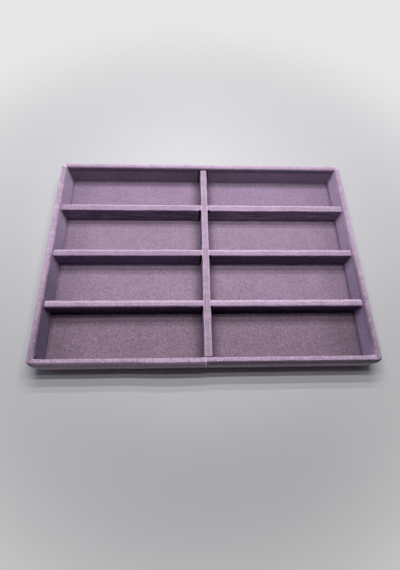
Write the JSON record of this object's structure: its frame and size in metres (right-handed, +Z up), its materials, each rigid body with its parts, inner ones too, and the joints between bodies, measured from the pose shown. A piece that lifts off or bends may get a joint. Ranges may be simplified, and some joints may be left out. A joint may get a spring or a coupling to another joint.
{
  "type": "drawer glasses organizer",
  "caption": "Shallow velvet-covered tray for a drawer, with a lift-out slotted divider grid that makes long compartments for folded glasses.",
  "frame": {"origin": "centre of the underside, on the surface the tray lies on", "axes": "+X along the long side and the cross dividers, +Y from the seam side to the back, +Z up out of the compartments"},
  "size_m": [0.35, 0.247, 0.03],
  "materials": {
    "frame_velvet": "short-pile velvet, lilac",
    "floor_velvet": "short-pile velvet, lilac",
    "divider_velvet": "short-pile velvet, lilac",
    "underside_felt": "thin grey-mauve felt",
    "fibreboard": "raw medium-density fibreboard",
    "brad_steel": "bright wire"
  },
  "bodies": {
    "tray": {"base_board": "fibreboard", "back_wall": "fibreboard", "front_wall": "fibreboard", "left_wall": "fibreboard", "right_wall": "fibreboard", "frame_velvet": "frame_velvet", "floor_velvet": "floor_velvet", "underside_sheet": "underside_felt", "corner_brad_front_left_low": "brad_steel", "corner_brad_front_left_high": "brad_steel", "corner_brad_front_right_low": "brad_steel", "corner_brad_front_right_high": "brad_steel", "corner_brad_back_left_low": "brad_steel", "corner_brad_back_left_high": "brad_steel", "corner_brad_back_right_low": "brad_steel", "corner_brad_back_right_high": "brad_steel", "base_brad_front_1": "brad_steel", "base_brad_front_2": "brad_steel", "base_brad_front_3": "brad_steel", "base_brad_back_1": "brad_steel", "base_brad_back_2": "brad_steel", "base_brad_back_3": "brad_steel", "base_brad_left_1": "brad_steel", "base_brad_right_1": "brad_steel"},
    "cross_divider_3": {"cross_divider_3_core": "fibreboard", "cross_divider_3_velvet": "divider_velvet"},
    "cross_divider_2": {"cross_divider_2_core": "fibreboard", "cross_divider_2_velvet": "divider_velvet"},
    "cross_divider_1": {"cross_divider_1_core": "fibreboard", "cross_divider_1_velvet": "divider_velvet"},
    "long_divider": {"long_divider_core": "fibreboard", "long_divider_velvet": "divider_velvet"}
  },
  "joints": [
    {"name": "cross_divider_2_lift", "type": "slide", "parent": "tray", "child": "cross_divider_2", "axis": [0, 0, 1], "range_m": [0, 0.031]},
    {"name": "cross_divider_3_lift", "type": "slide", "parent": "tray", "child": "cross_divider_3", "axis": [0, 0, 1], "range_m": [0, 0.031]},
    {"name": "cross_divider_1_lift", "type": "slide", "parent": "tray", "child": "cross_divider_1", "axis": [0, 0, 1], "range_m": [0, 0.031]},
    {"name": "long_divider_lift", "type": "slide", "parent": "cross_divider_2", "child": "long_divider", "axis": [0, 0, 1], "range_m": [0, 0.031]}
  ],
  "couplings": [
    {"joint": "cross_divider_3_lift", "follows": "cross_divider_2_lift", "ratio": 1},
    {"joint": "cross_divider_1_lift", "follows": "cross_divider_2_lift", "ratio": 1}
  ]
}
